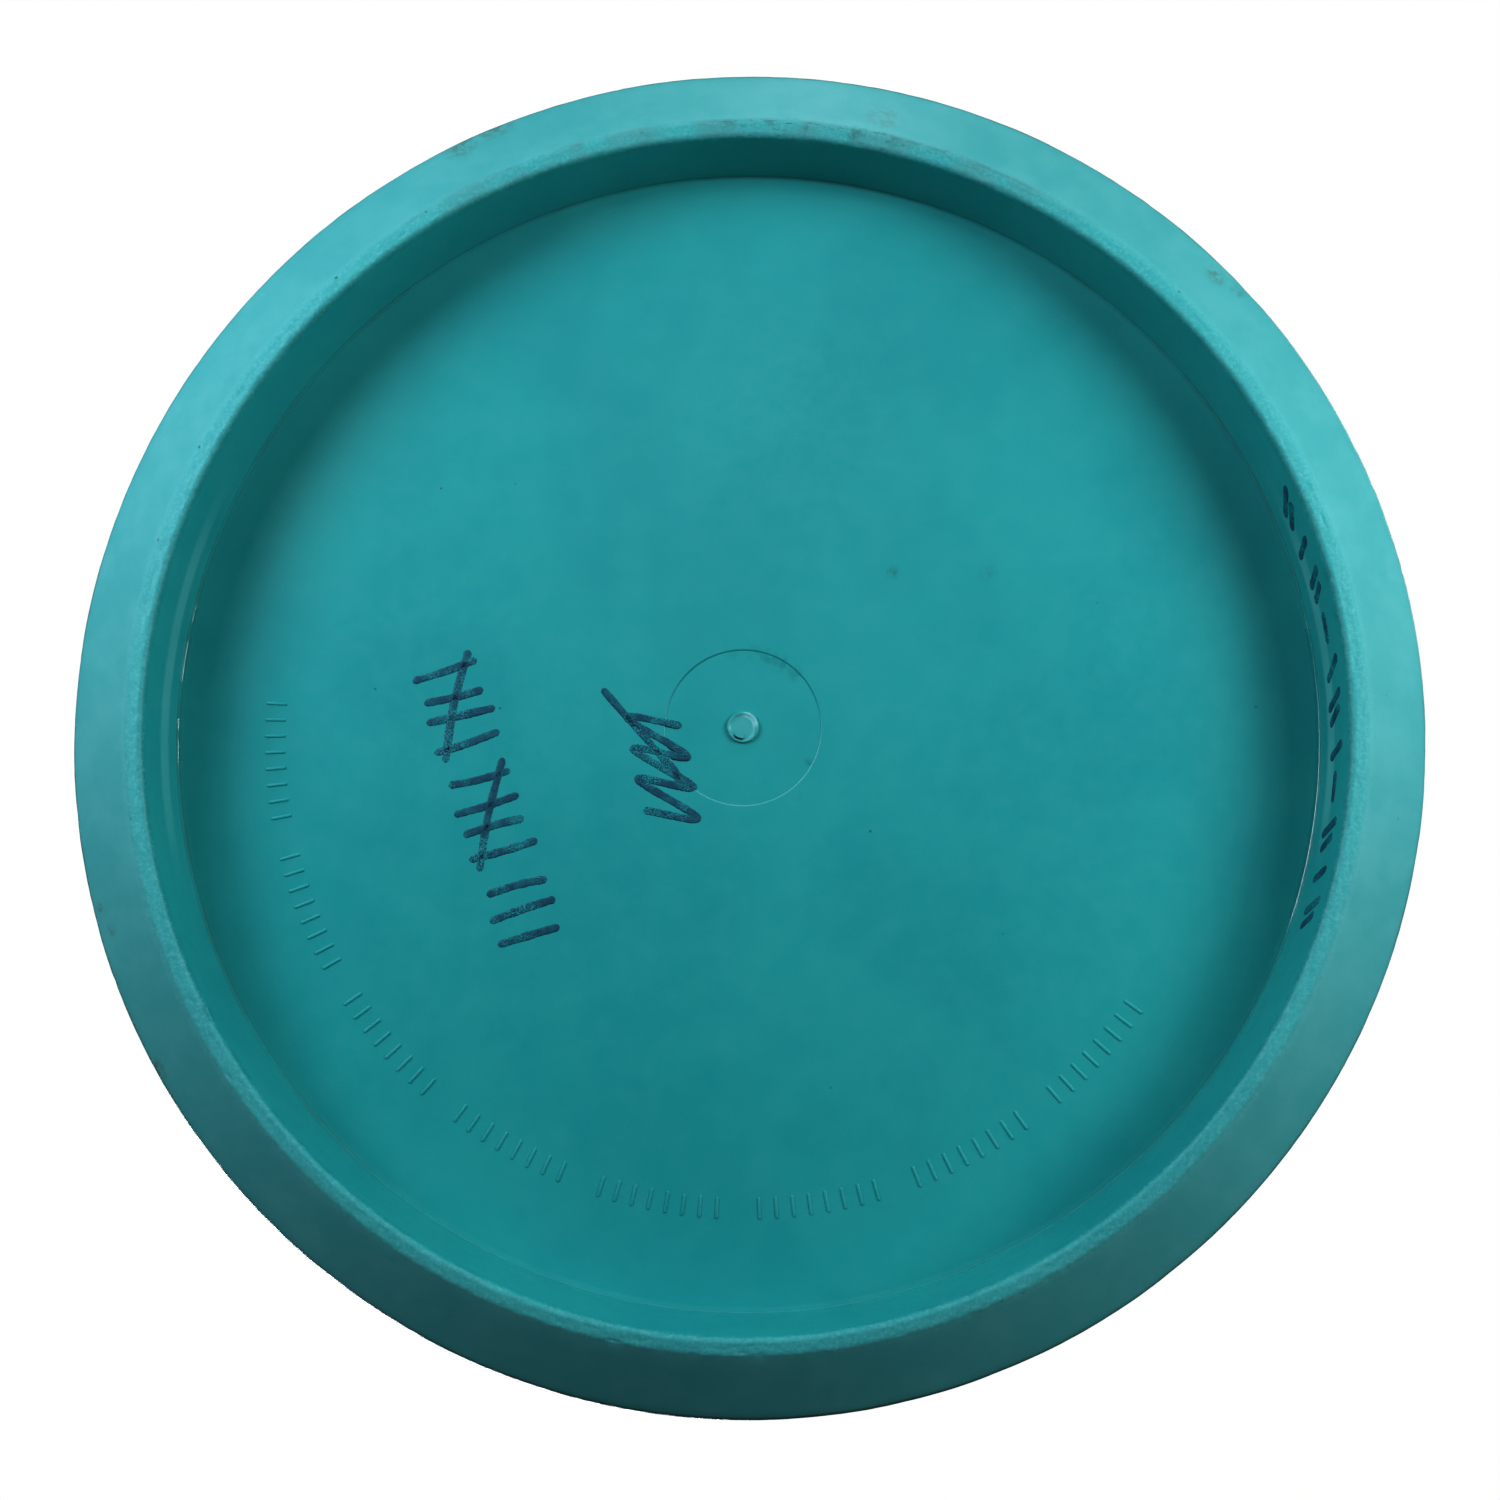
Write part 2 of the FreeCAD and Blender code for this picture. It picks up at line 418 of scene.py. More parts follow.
def make_stub():
    """The trimmed gate: a dished face in a torn ring, wide on one side and split by a slit on the other."""
    tip, base = stub_low.z, stub_high.z + SUNK
    shown_part = [(STUB_RADIUS * r, tip + (stub_high.z - tip) * z) for r, z in STUB_OUTLINE]
    section = np.array(shown_part + [(STUB_RADIUS, base), (0, base)])
    angle, radius, height = turned_grid(section, STUB_SEGMENTS)
    level = np.zeros(angle.shape)
    share = section[:, :1] / STUB_RADIUS
    shown = (section[:, 1] < stub_high.z)[:, None]
    face_edge = shown * band(0.55, 0.72, 0.1, share)
    slit = shown * band(0.74, 0.80, 0.01, share)
    crest = shown * band(0.85, 0.97, 0.02, share)
    toward_wide = (1 + np.cos(angle - WIDE_SIDE)) / 2
    turn_from_slit = (angle - SLIT_MIDDLE + math.pi) % FULL_TURN - math.pi
    coarse, fine, crooked = TORN_SEEDS
    torn = ring_noise(angle, level, 9, coarse) + 0.5 * ring_noise(angle, level, 23, fine)
    radius *= 1 - 0.14 * face_edge * toward_wide
    radius *= 1 + crest * 0.025 * ring_noise(angle, level, 11, crooked)
    height += SLIT_DEPTH * slit * np.exp(-((turn_from_slit / SLIT_HALF) ** 2))
    height += TORN_HEIGHT * crest * np.maximum(torn, -0.2)
    return new_piece("gate_stub_moulding", *turned_mesh(angle, radius, height, closed=False))


# ---------------------------------------------------------------- raised dashes
def on_plate(x, y, lift):
    """A place so far below the plate's underside."""
    z = underside(np.hypot(x, y)) + plate_wave(x, y) - lift
    return np.stack([x, y, z], -1)


def dash_outline(length, width, count=10):
    """Points round a dash with round ends, its length along the first axis."""
    end = np.linspace(-math.pi / 2, math.pi / 2, count)
    reach = length / 2 - width / 2
    right = np.stack([reach + width / 2 * np.cos(end), width / 2 * np.sin(end)], 1)
    return np.concatenate([right, -right])


# Outlines of one dash from its root to its crest: (inset, how far it stands out of the plate).
MARK_LEVELS = ((0.0, -SUNK), (0.02 * MM, 0.4 * MARK_HEIGHT), (0.07 * MM, 0.8 * MARK_HEIGHT),
               (0.15 * MM, MARK_HEIGHT))


def make_marks():
    """All the raised dashes, each a closed form with rounded shoulders that starts inside the plate."""
    verts, faces = [], []
    for number in range(MARK_GROUPS * MARKS_IN_GROUP):
        group, place = divmod(number, MARKS_IN_GROUP)
        turn = math.radians(MARK_FIRST_ANGLE + group * MARK_GROUP_PITCH + place * MARK_PITCH)
        first = len(verts)
        for inset, lift in MARK_LEVELS:
            flat = dash_outline(MARK_LENGTH - 2 * inset, MARK_WIDTH - 2 * inset)
            out, side = MARK_CIRCLE_RADIUS + flat[:, 0], flat[:, 1]
            x = out * math.cos(turn) - side * math.sin(turn)
            y = out * math.sin(turn) + side * math.cos(turn)
            verts.extend(on_plate(x, y, lift))
        count = len(flat)
        faces.append(tuple(range(first, first + count)))
        for level in range(len(MARK_LEVELS) - 1):
            low, high = first + level * count, first + (level + 1) * count
            for i in range(count):
                j = (i + 1) % count
                faces.append((low + j, low + i, high + i, high + j))
        faces.append(tuple(reversed(range(len(verts) - count, len(verts)))))
    return new_piece("raised_marks_moulding", verts, faces, sharp_degrees=60)


# ---------------------------------------------------------------- marker ink
def on_wall(along, height, lift):
    """A place on the inner wall, by the distance round it from -X and the height over the lip."""
    share = height / RIM_DEPTH
    radius = LIP_INNER_RADIUS * (1 - share) + CORNER_RADIUS * share - lift
    angle = math.pi + along / LIP_INNER_RADIUS
    return np.stack([radius * np.cos(angle), radius * np.sin(angle), height], -1)


def curve_through(points, step):
    """Points about a step apart along a smooth curve through the given ones."""
    points = np.asarray(points, float)
    if len(points) == 2:
        count = max(2, int(np.linalg.norm(points[1] - points[0]) / step) + 1)
        share = np.linspace(0, 1, count)[:, None]
        return points[0] * (1 - share) + points[1] * share
    ends = np.concatenate([[2 * points[0] - points[1]], points, [2 * points[-1] - points[-2]]])
    out = []
    for p0, p1, p2, p3 in zip(ends, ends[1:], ends[2:], ends[3:]):
        count = max(2, int(np.linalg.norm(p2 - p1) / step))
        t = np.linspace(0, 1, count, endpoint=False)[:, None]
        out.append(0.5 * (2 * p1 + (p2 - p0) * t + (2 * p0 - 5 * p1 + 4 * p2 - p3) * t**2
                          + (3 * p1 - p0 - 3 * p2 + p3) * t**3))
    return np.concatenate([*out, points[-1:]])


def stroke_mesh(points, width, place, draw, verts, faces):
    """Adds one pen stroke: a thin closed ribbon with round ends and slightly uneven sides."""
    line = curve_through(points, INK_STEP)
    along = np.gradient(line, axis=0)
    along /= np.linalg.norm(along, axis=1, keepdims=True)
    side = np.stack([-along[:, 1], along[:, 0]], 1)
    run = np.concatenate([[0], np.cumsum(np.linalg.norm(np.diff(line, axis=0), axis=1))])
    to_end = np.minimum(run, run[-1] - run) / (width / 2)
    half = width / 2 * np.sqrt(np.clip(1 - (1 - np.clip(to_end, 0, 1)) ** 2, 0.04, 1))
    half = half * (1 + 0.10 * np.interp(run, np.linspace(0, run[-1], 9), draw.uniform(-1, 1, 9)))
    half = half * (1 + 0.07 * draw.uniform(-1, 1, half.shape))
    across = np.linspace(-1, 1, INK_COLUMNS)
    x = line[:, :1] + side[:, :1] * half[:, None] * across
    y = line[:, 1:] + side[:, 1:] * half[:, None] * across
    edge = np.abs(across) > 0.99
    tops = place(x, y, np.where(edge, -0.3 * INK_LIFT, INK_LIFT))
    bottoms = place(x, y, np.full(INK_COLUMNS, -INK_LIFT))
    rows, columns, first = len(line), INK_COLUMNS, len(verts)
    verts.extend(tops.reshape(-1, 3))
    verts.extend(bottoms.reshape(-1, 3))
    under = first + rows * columns
    for i in range(rows - 1):
        for j in range(columns - 1):
            a = first + i * columns + j
            b = under + i * columns + j
            faces.append((a, a + 1, a + columns + 1, a + columns))
            faces.append((b + columns, b + columns + 1, b + 1, b))
        left = i * columns
        right = left + columns - 1
        faces.append((first + left, first + left + columns, under + left + columns, under + left))
        faces.append((first + right + columns, first + right, under + right, under + right + columns))
    for j in range(columns - 1):
        last = (rows - 1) * columns + j
        faces.append((first + j + 1, first + j, under + j, under + j + 1))
        faces.append((first + last, first + last + 1, under + last + 1, under + last))


def make_strokes(name, strokes, width, place, seed):
    """One piece of ink from strokes given in millimetres."""
    draw = np.random.default_rng(seed)
    verts, faces = [], []
    for points in strokes:
        stroke_mesh(np.asarray(points) * MM, width, place, draw, verts, faces)
    return new_piece(name, verts, faces, sharp_degrees=180)


def tally_strokes():
    """Three bundles of bars, two of them with a bar across, down a slanting column."""
    draw = np.random.default_rng(TALLY_PLACE_SEED)
    start = np.array([48.4, 9.2])
    step = np.array([-1.25, -3.75])
    bar = np.array([10.4, -3.2])
    strokes = []
    for bundle, first in enumerate((0.0, 4.7, 9.4)):
        for number in range(4 if bundle < 2 else 3):
            centre = start + step * (first + number) + draw.uniform(-0.35, 0.35, 2)
            lean = draw.uniform(-0.45, 0.45, 2)
            middle = centre + draw.uniform(-0.35, 0.35, 2)
            strokes.append((centre - bar / 2 - lean, middle, centre + bar / 2 + lean))
        if bundle < 2:
            low = start + step * (first - 0.6) - bar * 0.42
            high = start + step * (first + 3.6) + bar * 0.42
            strokes.append((low, (low + high) / 2 + (0.5, 0.3 - 0.5 * bundle), high))
    return strokes


def scribble_strokes():
    """A plain tight zigzag and a stroke through it."""
    start = np.array([14.6, 2.2])
    step = np.array([-0.45, -2.5])
    swing = np.array([-4.6, -1.9])
    zigzag = []
    for number in range(8):
        side = 1 if number % 2 == 0 else -1
        zigzag.append(start + step * number + side * swing)
    through = [(22.9, 6.4), (17.5, 0.2), (11.6, -6.5), (10.2, -9.0)]
    return [zigzag, through]


def wall_strokes():
    """A row of slanting ticks, some of them in pairs, with a long dash between them here and there."""
    draw = np.random.default_rng(TICK_PLACE_SEED)
    mid_height = 6.4
    along = -35.0
    strokes = []
    for kind in "pair tick pair dash tick pair tick dash pair tick pair".split():
        middle = mid_height + draw.uniform(-0.4, 0.4)
        if kind == "dash":
            strokes.append([(along - 1.5, middle), (along + 3.5, middle + 0.3)])
            along += 7.4
            continue
        lean, tall = draw.uniform(0.7, 2.0), draw.uniform(4.6, 6.0)
        strokes.append([(along - lean, middle - tall / 2), (along + lean, middle + tall / 2)])
        if kind == "pair":
            along += 2.2
            low_end = (along - 0.8 * lean, middle - 0.36 * tall)
            strokes.append([low_end, (along + 1.1 * lean, middle + 0.42 * tall)])
        along += draw.uniform(4.6, 5.8)
    return strokes


# ---------------------------------------------------------------- materials
class Nodes:
    """Short calls for the nodes of one material."""

    def __init__(self, name):
        self.material = bpy.data.materials.new(name)
        self.material.use_nodes = True
        self.tree = self.material.node_tree
        self.bsdf = self.tree.nodes["Principled BSDF"]
        self.place = self.tree.nodes.new("ShaderNodeTexCoord").outputs["Object"]

    def put(self, value, socket):
        """Sets a socket to a number or a colour, or links it to another node's output."""
        if hasattr(value, "links"):
            self.tree.links.new(value, socket)
        elif isinstance(value, (tuple, list)) and len(value) == 3 and len(socket.default_value) == 4:
            socket.default_value = (*value, 1)
        else:
            socket.default_value = value

    def math(self, operation, a, b=0.0, clamp=False):
        node = self.tree.nodes.new("ShaderNodeMath")
        node.operation = operation
        node.use_clamp = clamp
        self.put(a, node.inputs[0])
        self.put(b, node.inputs[1])
        return node.outputs[0]

    def times(self, first, *others):
        product = first
        for value in others:
            product = self.math("MULTIPLY", product, value)
        return product

    def vector(self, operation, a, b=(0, 0, 0)):
        node = self.tree.nodes.new("ShaderNodeVectorMath")
        node.operation = operation
        self.put(a, node.inputs[0])
        self.put(b, node.inputs[1])
        return node.outputs["Value"] if operation in ("LENGTH", "DISTANCE") else node.outputs["Vector"]

    def noise(self, scale, detail, rough=0.5, place=None):
        node = self.tree.nodes.new("ShaderNodeTexNoise")
        self.put(place or self.place, node.inputs["Vector"])
        node.inputs["Scale"].default_value = scale
        node.inputs["Detail"].default_value = detail
        node.inputs["Roughness"].default_value = rough
        return node.outputs[0]

    def from_cell(self, scale):
        """The distance from the nearest of many scattered points."""
        node = self.tree.nodes.new("ShaderNodeTexVoronoi")
        self.put(self.place, node.inputs["Vector"])
        node.inputs["Scale"].default_value = scale
        return node.outputs["Distance"]

    def ramp(self, value, low, high, to_low=0.0, to_high=1.0):
        """A smooth step from to_low, up to low, to to_high, from high on."""
        node = self.tree.nodes.new("ShaderNodeMapRange")
        node.interpolation_type = "SMOOTHSTEP"
        self.put(value, node.inputs["Value"])
        limits = {"From Min": low, "From Max": high, "To Min": to_low, "To Max": to_high}
        for name, number in limits.items():
            node.inputs[name].default_value = number
        return node.outputs["Result"]

    def fade(self, value, low, high, most=1.0):
        """most up to low, falling to 0 at high."""
        return self.ramp(value, low, high, most, 0)

    def gap(self, value, middle):
        return self.math("ABSOLUTE", self.math("SUBTRACT", value, middle))

    def near(self, value, middle, inner, outer):
        """1 within inner of the middle, falling to 0 at outer from it."""
        return self.fade(self.gap(value, middle), inner, outer)

    def near_spot(self, spot, inner, outer, most):
        """most within inner of a point in space, falling to 0 at outer from it."""
        return self.fade(self.vector("DISTANCE", self.place, spot), inner, outer, most)

    def mix(self, share, a, b):
        """A colour between a and b."""
        node = self.tree.nodes.new("ShaderNodeMix")
        node.data_type = "RGBA"
        factor, first, second = (next(s for s in node.inputs if s.enabled and s.name == name)
                                 for name in ("Factor", "A", "B"))
        self.put(share, factor)
        self.put(a, first)
        self.put(b, second)
        return next(s for s in node.outputs if s.enabled)

    def bump(self, height, strength, distance):
        node = self.tree.nodes.new("ShaderNodeBump")
        node.inputs["Strength"].default_value = strength
        node.inputs["Distance"].default_value = distance
        self.put(height, node.inputs["Height"])
        return node.outputs["Normal"]


TEAL = (0.036, 0.425, 0.410)
TEAL_DEEP = (0.030, 0.395, 0.390)
TEAL_SHADE = (0.020, 0.300, 0.290)
# A pale rubbed colour, which also paints highlights on the wall and on the pad's step.
WORN_AND_SHEEN = (0.19, 0.57, 0.550)
TORN = (0.34, 0.72, 0.72)
# Dark dirt, which also paints shade in the gate's slit.
DIRT_AND_SHADE = (0.035, 0.075, 0.06)
BROWN = (0.13, 0.115, 0.08)
GREY_DIRT = (0.14, 0.27, 0.26)
INK = (0.018, 0.095, 0.150)

# Rings that wear, dirt, painted shade and painted highlights follow.
CORNER_LINE = 91.5 * MM
LIP_MIDDLE = 94 * MM
LIP_OUTER_LINE = 94.75 * MM
WITNESS_LINE = PAD_RADIUS + 0.5 * WITNESS_SLOPE
SLIT_LINE = 1.97 * MM

# The stretch of the lip with dark scrapes, and how many times longer than wide they are.
SCRAPED_MIDDLE = math.radians(99)
SCRAPED_INNER = math.radians(6)
SCRAPED_OUTER = math.radians(19)
DRAWN_OUT = 4

# The wide side of the torn ring round the gate, and the slit across from it.
TORN_SPOT = (-1.45 * MM, 1.45 * MM, 15.5 * MM)
SLIT_SPOT = (0.75 * MM, -1.85 * MM, 15.8 * MM)

# Smudges: (angle in degrees, radius, height, size, strength, colour).
SMUDGES = (
    (136.9, 102.9 * MM, 5.2 * MM, 2.8 * MM, 0.40, BROWN),
    (139.2, 104.0 * MM, 5.9 * MM, 2.0 * MM, 0.30, BROWN),
    (64.2, 104.4 * MM, 6.1 * MM, 4.0 * MM, 0.45, BROWN),
    (67.5, 105.2 * MM, 6.8 * MM, 4.5 * MM, 0.40, BROWN),
    (89.0, 94.3 * MM, 0.0 * MM, 1.6 * MM, 0.35, DIRT_AND_SHADE),
    (93.0, 94.3 * MM, 0.0 * MM, 0.8 * MM, 0.30, DIRT_AND_SHADE),
    (96.4, 94.0 * MM, 0.0 * MM, 0.9 * MM, 0.35, DIRT_AND_SHADE),
    (101.2, 94.2 * MM, 0.2 * MM, 2.4 * MM, 0.40, DIRT_AND_SHADE),
    (104.9, 94.2 * MM, 0.2 * MM, 1.8 * MM, 0.30, DIRT_AND_SHADE),
    (103.4, 98.8 * MM, 2.6 * MM, 4.5 * MM, 0.22, BROWN),
    (343.8, 104.3 * MM, 6.0 * MM, 1.0 * MM, 0.60, BROWN),
    (341.5, 103.2 * MM, 5.4 * MM, 1.6 * MM, 0.30, BROWN),
    (329.0, 104.9 * MM, 6.6 * MM, 2.5 * MM, 0.45, BROWN),
    (134.0, 35.0 * MM, 15.7 * MM, 1.6 * MM, 0.35, DIRT_AND_SHADE),
    (148.0, 47.0 * MM, 15.4 * MM, 2.2 * MM, 0.15, DIRT_AND_SHADE),
    (232.0, 14.2 * MM, 16.1 * MM, 1.2 * MM, 0.30, TEAL_SHADE),
    # The teal-shade rows from 82 to 134 degrees paint shade along the +Y side of the pad's step.
    (82.0, 12.0 * MM, 16.1 * MM, 1.8 * MM, 0.22, TEAL_SHADE),
    (100.0, 12.2 * MM, 16.1 * MM, 2.0 * MM, 0.70, TEAL_SHADE),
    (111.0, 12.3 * MM, 16.1 * MM, 2.0 * MM, 0.80, TEAL_SHADE),
    (122.0, 12.2 * MM, 16.1 * MM, 2.2 * MM, 0.80, TEAL_SHADE),
    (134.0, 12.2 * MM, 16.1 * MM, 2.0 * MM, 0.60, TEAL_SHADE),
    (208.0, 12.1 * MM, 16.1 * MM, 1.2 * MM, 0.75, TEAL_SHADE),
)


class Places:
    """Coordinates and masks over the disc. A mask is 1 on its place and 0 away from it."""

    def __init__(self, n):
        parts = n.tree.nodes.new("ShaderNodeSeparateXYZ")
        n.put(n.place, parts.inputs[0])
        self.x, self.y, self.height = parts.outputs
        self.radius = n.vector("LENGTH", n.vector("MULTIPLY", n.place, (1, 1, 0)))
        radius, height = self.radius, self.height

        self.lip = n.times(n.fade(height, 0.25 * MM, 0.8 * MM), n.ramp(radius, 91.8 * MM, 92.3 * MM))
        self.lip_inner_edge = n.times(n.fade(radius, 92.0 * MM, 93.4 * MM),
                                      n.fade(height, 1.2 * MM, 2.2 * MM))
        self.lip_and_edges = n.times(n.fade(height, 0.7 * MM, 1.8 * MM), n.fade(radius, 95.2 * MM, 96.2 * MM))
        self.wall = n.fade(radius, 92.1 * MM, 92.4 * MM)
        self.lower_wing = n.times(n.ramp(radius, 94.2 * MM, 95.6 * MM), n.fade(height, 7.6 * MM, 9.6 * MM))
        self.upper_wing = n.times(n.ramp(radius, 93 * MM, 104 * MM), n.ramp(height, 8.5 * MM, 10 * MM))
        self.nose = n.ramp(radius, 105.2 * MM, 105.95 * MM)
        self.front = n.ramp(self.y, 70 * MM, 90 * MM)
        self.by_plate_edge = n.times(n.ramp(height, 12.6 * MM, 13.0 * MM),
                                     n.fade(height, 14.2 * MM, 14.6 * MM))
        self.witness = n.times(n.near(radius, WITNESS_LINE, 0.07 * MM, 0.20 * MM),
                               n.ramp(height, 14.9 * MM, 15.1 * MM), n.fade(height, 16.6 * MM, 17.0 * MM))
        self.gate = n.times(n.fade(radius, 2.45 * MM, 2.65 * MM),
                            n.fade(height, stub_high.z, stub_high.z + 0.02 * MM))
        self.from_corner = n.gap(radius, CORNER_LINE)
        above_lip = n.ramp(height, 1.0 * MM, 2.0 * MM, 0, 5 * MM)
        self.from_lip_outer = n.math("ADD", n.gap(radius, LIP_OUTER_LINE), above_lip)

        # Noise read in these coordinates is drawn out along the rim.
        self.turn = n.math("ARCTAN2", self.y, self.x)
        unrolled = n.tree.nodes.new("ShaderNodeCombineXYZ")
        n.put(n.times(self.turn, LIP_MIDDLE), unrolled.inputs[0])
        n.put(n.times(radius, DRAWN_OUT), unrolled.inputs[1])
        n.put(n.times(height, DRAWN_OUT), unrolled.inputs[2])
        self.unrolled = unrolled.outputs[0]


def wear_and_wall_highlight(n, at, wing_rub, lip_rub):
    """Mottled teal, paler where the wings and the lip are rubbed, with a painted highlight in a band on the
    wall at its -X and +X sides.
    """
    colour = n.mix(n.ramp(n.noise(42, 3), 0.38, 0.66), TEAL, TEAL_DEEP)
    colour = n.mix(n.ramp(n.noise(190, 3), 0.35, 0.70, 0, 0.05), colour, WORN_AND_SHEEN)
    colour = n.mix(wing_rub, colour, WORN_AND_SHEEN)
    graze = n.times(at.upper_wing, n.ramp(n.noise(260, 6, 0.7), 0.48, 0.66, 0.04, 0.32))
    colour = n.mix(graze, colour, WORN_AND_SHEEN)
    shade = n.times(at.lip_inner_edge, n.ramp(n.noise(320, 4), 0.36, 0.62, 0.15, 0.50))
    colour = n.mix(shade, colour, TEAL_SHADE)
    gritty = n.times(at.lip_and_edges, n.ramp(n.noise(1700, 4, 0.75), 0.50, 0.60, 0, 0.38))
    colour = n.mix(gritty, colour, WORN_AND_SHEEN)
    colour = n.mix(lip_rub, colour, WORN_AND_SHEEN)

    # A painted highlight: a pale band part way up the wall near -X and +X.
    highlight_heights = n.times(n.ramp(at.height, 6.4 * MM, 7.6 * MM), n.fade(at.height, 9.4 * MM, 10.4 * MM))
    highlight_sides = n.times(n.ramp(n.math("ABSOLUTE", at.x), 78 * MM, 82 * MM),
                         n.near(at.y, 8 * MM, 16 * MM, 34 * MM))
    painted_wall_highlight = n.times(at.wall, highlight_heights, highlight_sides, n.ramp(n.noise(60, 2), 0.3, 0.6, 0.45, 0.75))
    return n.mix(painted_wall_highlight, colour, WORN_AND_SHEEN)


def dirt_and_shade_colour(n, at, colour):
    """Grey dirt and dark scrapes on the lip at the front, painted shade and some brown dirt in the corner,
    dirt on the nose, and smudges, with painted shade among those round the pad's step.
    """
    settled = n.times(at.lip, at.front, n.ramp(n.noise(150, 4), 0.35, 0.65, 0.05, 0.36))
    colour = n.mix(settled, colour, GREY_DIRT)
    scraped = n.times(at.lip, n.near(at.turn, SCRAPED_MIDDLE, SCRAPED_INNER, SCRAPED_OUTER),
                      n.ramp(n.noise(430, 6, 0.75, at.unrolled), 0.55, 0.67, 0, 0.60))
    colour = n.mix(scraped, colour, DIRT_AND_SHADE)
    # Painted shade darkens the corner under the plate's edge, less towards -Y; the brown in it is dirt.
    corner = n.times(n.fade(at.from_corner, 0.1 * MM, 0.35 * MM), at.by_plate_edge,
                     n.ramp(at.y, -84 * MM, -40 * MM, 0.55, 1))
    colour = n.mix(n.times(corner, 0.55), colour, TEAL_SHADE)
    colour = n.mix(n.times(corner, n.ramp(n.noise(70, 3), 0.42, 0.60, 0.0, 0.14)), colour, BROWN)
    grime = n.times(at.nose, n.ramp(n.noise(140, 4), 0.34, 0.66, 0.10, 0.55))
    colour = n.mix(grime, colour, BROWN)

    breakup = n.ramp(n.noise(900, 4), 0.38, 0.62, 0.1, 1.0)
    for degrees, radius, height, size, strength, dirt in SMUDGES:
        turn = math.radians(degrees)
        spot = (radius * math.cos(turn), radius * math.sin(turn), height)
        colour = n.mix(n.times(n.near_spot(spot, 0.1 * size, size, strength), breakup), colour, dirt)
    return colour


def gate_colour(n, at, colour):
    """Painted shade on the +Y side of the witness step, a painted highlight on its other side, a paler torn
    gate, and painted shade in its slit.
    """
    # Painted shade on the step's +Y side and a painted highlight on its -Y side.
    colour = n.mix(n.times(at.witness, n.ramp(at.y, 0, 9 * MM, 0, 0.65)), colour, TEAL_SHADE)
    colour = n.mix(n.times(at.witness, n.fade(at.y, -9 * MM, 0, 0.50)), colour, WORN_AND_SHEEN)
    colour = n.mix(n.times(at.gate, 0.35), colour, WORN_AND_SHEEN)
    # The torn gate is paler towards the wide side of its torn ring.
    paler_side = n.times(n.near_spot(TORN_SPOT, 0.9 * MM, 2.0 * MM, 0.85),
                       n.ramp(at.radius, 1.50 * MM, 1.75 * MM))
    colour = n.mix(n.times(at.gate, paler_side), colour, TORN)
    # Painted shade in the gate's slit.
    slit = n.times(n.near_spot(SLIT_SPOT, 0.5 * MM, 1.2 * MM, 0.9),
                   n.near(at.radius, SLIT_LINE, 0.10 * MM, 0.28 * MM))
    return n.mix(n.times(at.gate, slit), colour, DIRT_AND_SHADE)


def specked_colour(n, at, colour):
    """A few specks over the whole moulding, and pits and a dotted streak along the lip's outer edge."""
    speck = n.times(n.fade(n.from_cell(170), 0.02, 0.05, 0.6), n.ramp(n.noise(90, 1), 0.60, 0.62))
    pit = n.times(n.fade(n.from_cell(420), 0.05, 0.16, 0.7), n.fade(at.from_lip_outer, 0.2 * MM, 0.7 * MM),
                  n.ramp(n.noise(60, 2), 0.50, 0.56))
    streak = n.times(n.fade(at.from_lip_outer, 0.08 * MM, 0.40 * MM, 0.22), at.front,
                     n.ramp(n.noise(170, 3), 0.53, 0.62))
    return n.mix(n.math("MAXIMUM", n.math("MAXIMUM", speck, pit), streak), colour, DIRT_AND_SHADE)


def put_shine(n, at, wing_rub, lip_rub):
    """A satin finish, duller where it is rubbed, with glossy stretches along the corner under the plate."""
    corner = n.times(n.fade(at.from_corner, 0.4 * MM, 0.8 * MM), at.by_plate_edge)
    minus_x = n.times(n.near(at.y, -8 * MM, 20 * MM, 28 * MM), n.fade(at.x, -80 * MM, -78 * MM))
    plus_x = n.times(n.near(at.y, 7 * MM, 11 * MM, 15 * MM), n.ramp(at.x, 78 * MM, 80 * MM),
                     n.ramp(n.noise(190, 1), 0.46, 0.48))
    polished = n.math("MAXIMUM", minus_x, plus_x)
    roughness = n.ramp(n.noise(520, 3), 0.3, 0.7, 0.34, 0.42)
    roughness = n.math("ADD", roughness, n.times(lip_rub, 0.4))
    roughness = n.math("ADD", roughness, n.times(wing_rub, 0.12))
    roughness = n.math("ADD", roughness, n.fade(at.from_lip_outer, 0.3 * MM, 0.9 * MM, 0.18))
    corner_change = n.times(corner, n.ramp(polished, 0, 1, 0.35, -0.24))
    n.put(n.math("ADD", roughness, corner_change, clamp=True), n.bsdf.inputs["Roughness"])
    n.put(n.ramp(n.times(corner, polished), 0, 1, 0.38, 1.0), n.bsdf.inputs["Specular IOR Level"])


def disc_plastic():
    """Teal moulded plastic: faint mottling, a scuffed lip, rubbed wings, specks of dirt."""
    n = Nodes("disc_plastic")
    at = Places(n)
    wing_rub = n.times(at.lower_wing, n.ramp(n.noise(120, 5, 0.6), 0.35, 0.68, 0.50, 0.68))
    lip_rub = n.times(at.lip, n.ramp(n.noise(1400, 4, 0.6), 0.30, 0.70, 0.14, 0.34))
    colour = wear_and_wall_highlight(n, at, wing_rub, lip_rub)
    colour = dirt_and_shade_colour(n, at, colour)
    colour = gate_colour(n, at, colour)
    colour = specked_colour(n, at, colour)
    n.put(colour, n.bsdf.inputs["Base Color"])
    put_shine(n, at, wing_rub, lip_rub)
    grain = n.times(n.noise(2600, 2), 0.30)
    lip_grain = n.times(n.noise(2200, 4), n.math("ADD", n.times(at.lip, 0.8), 0.12))
    n.put(n.bump(n.math("ADD", grain, lip_grain), 0.35, 0.05 * MM), n.bsdf.inputs["Normal"])
    return n.material


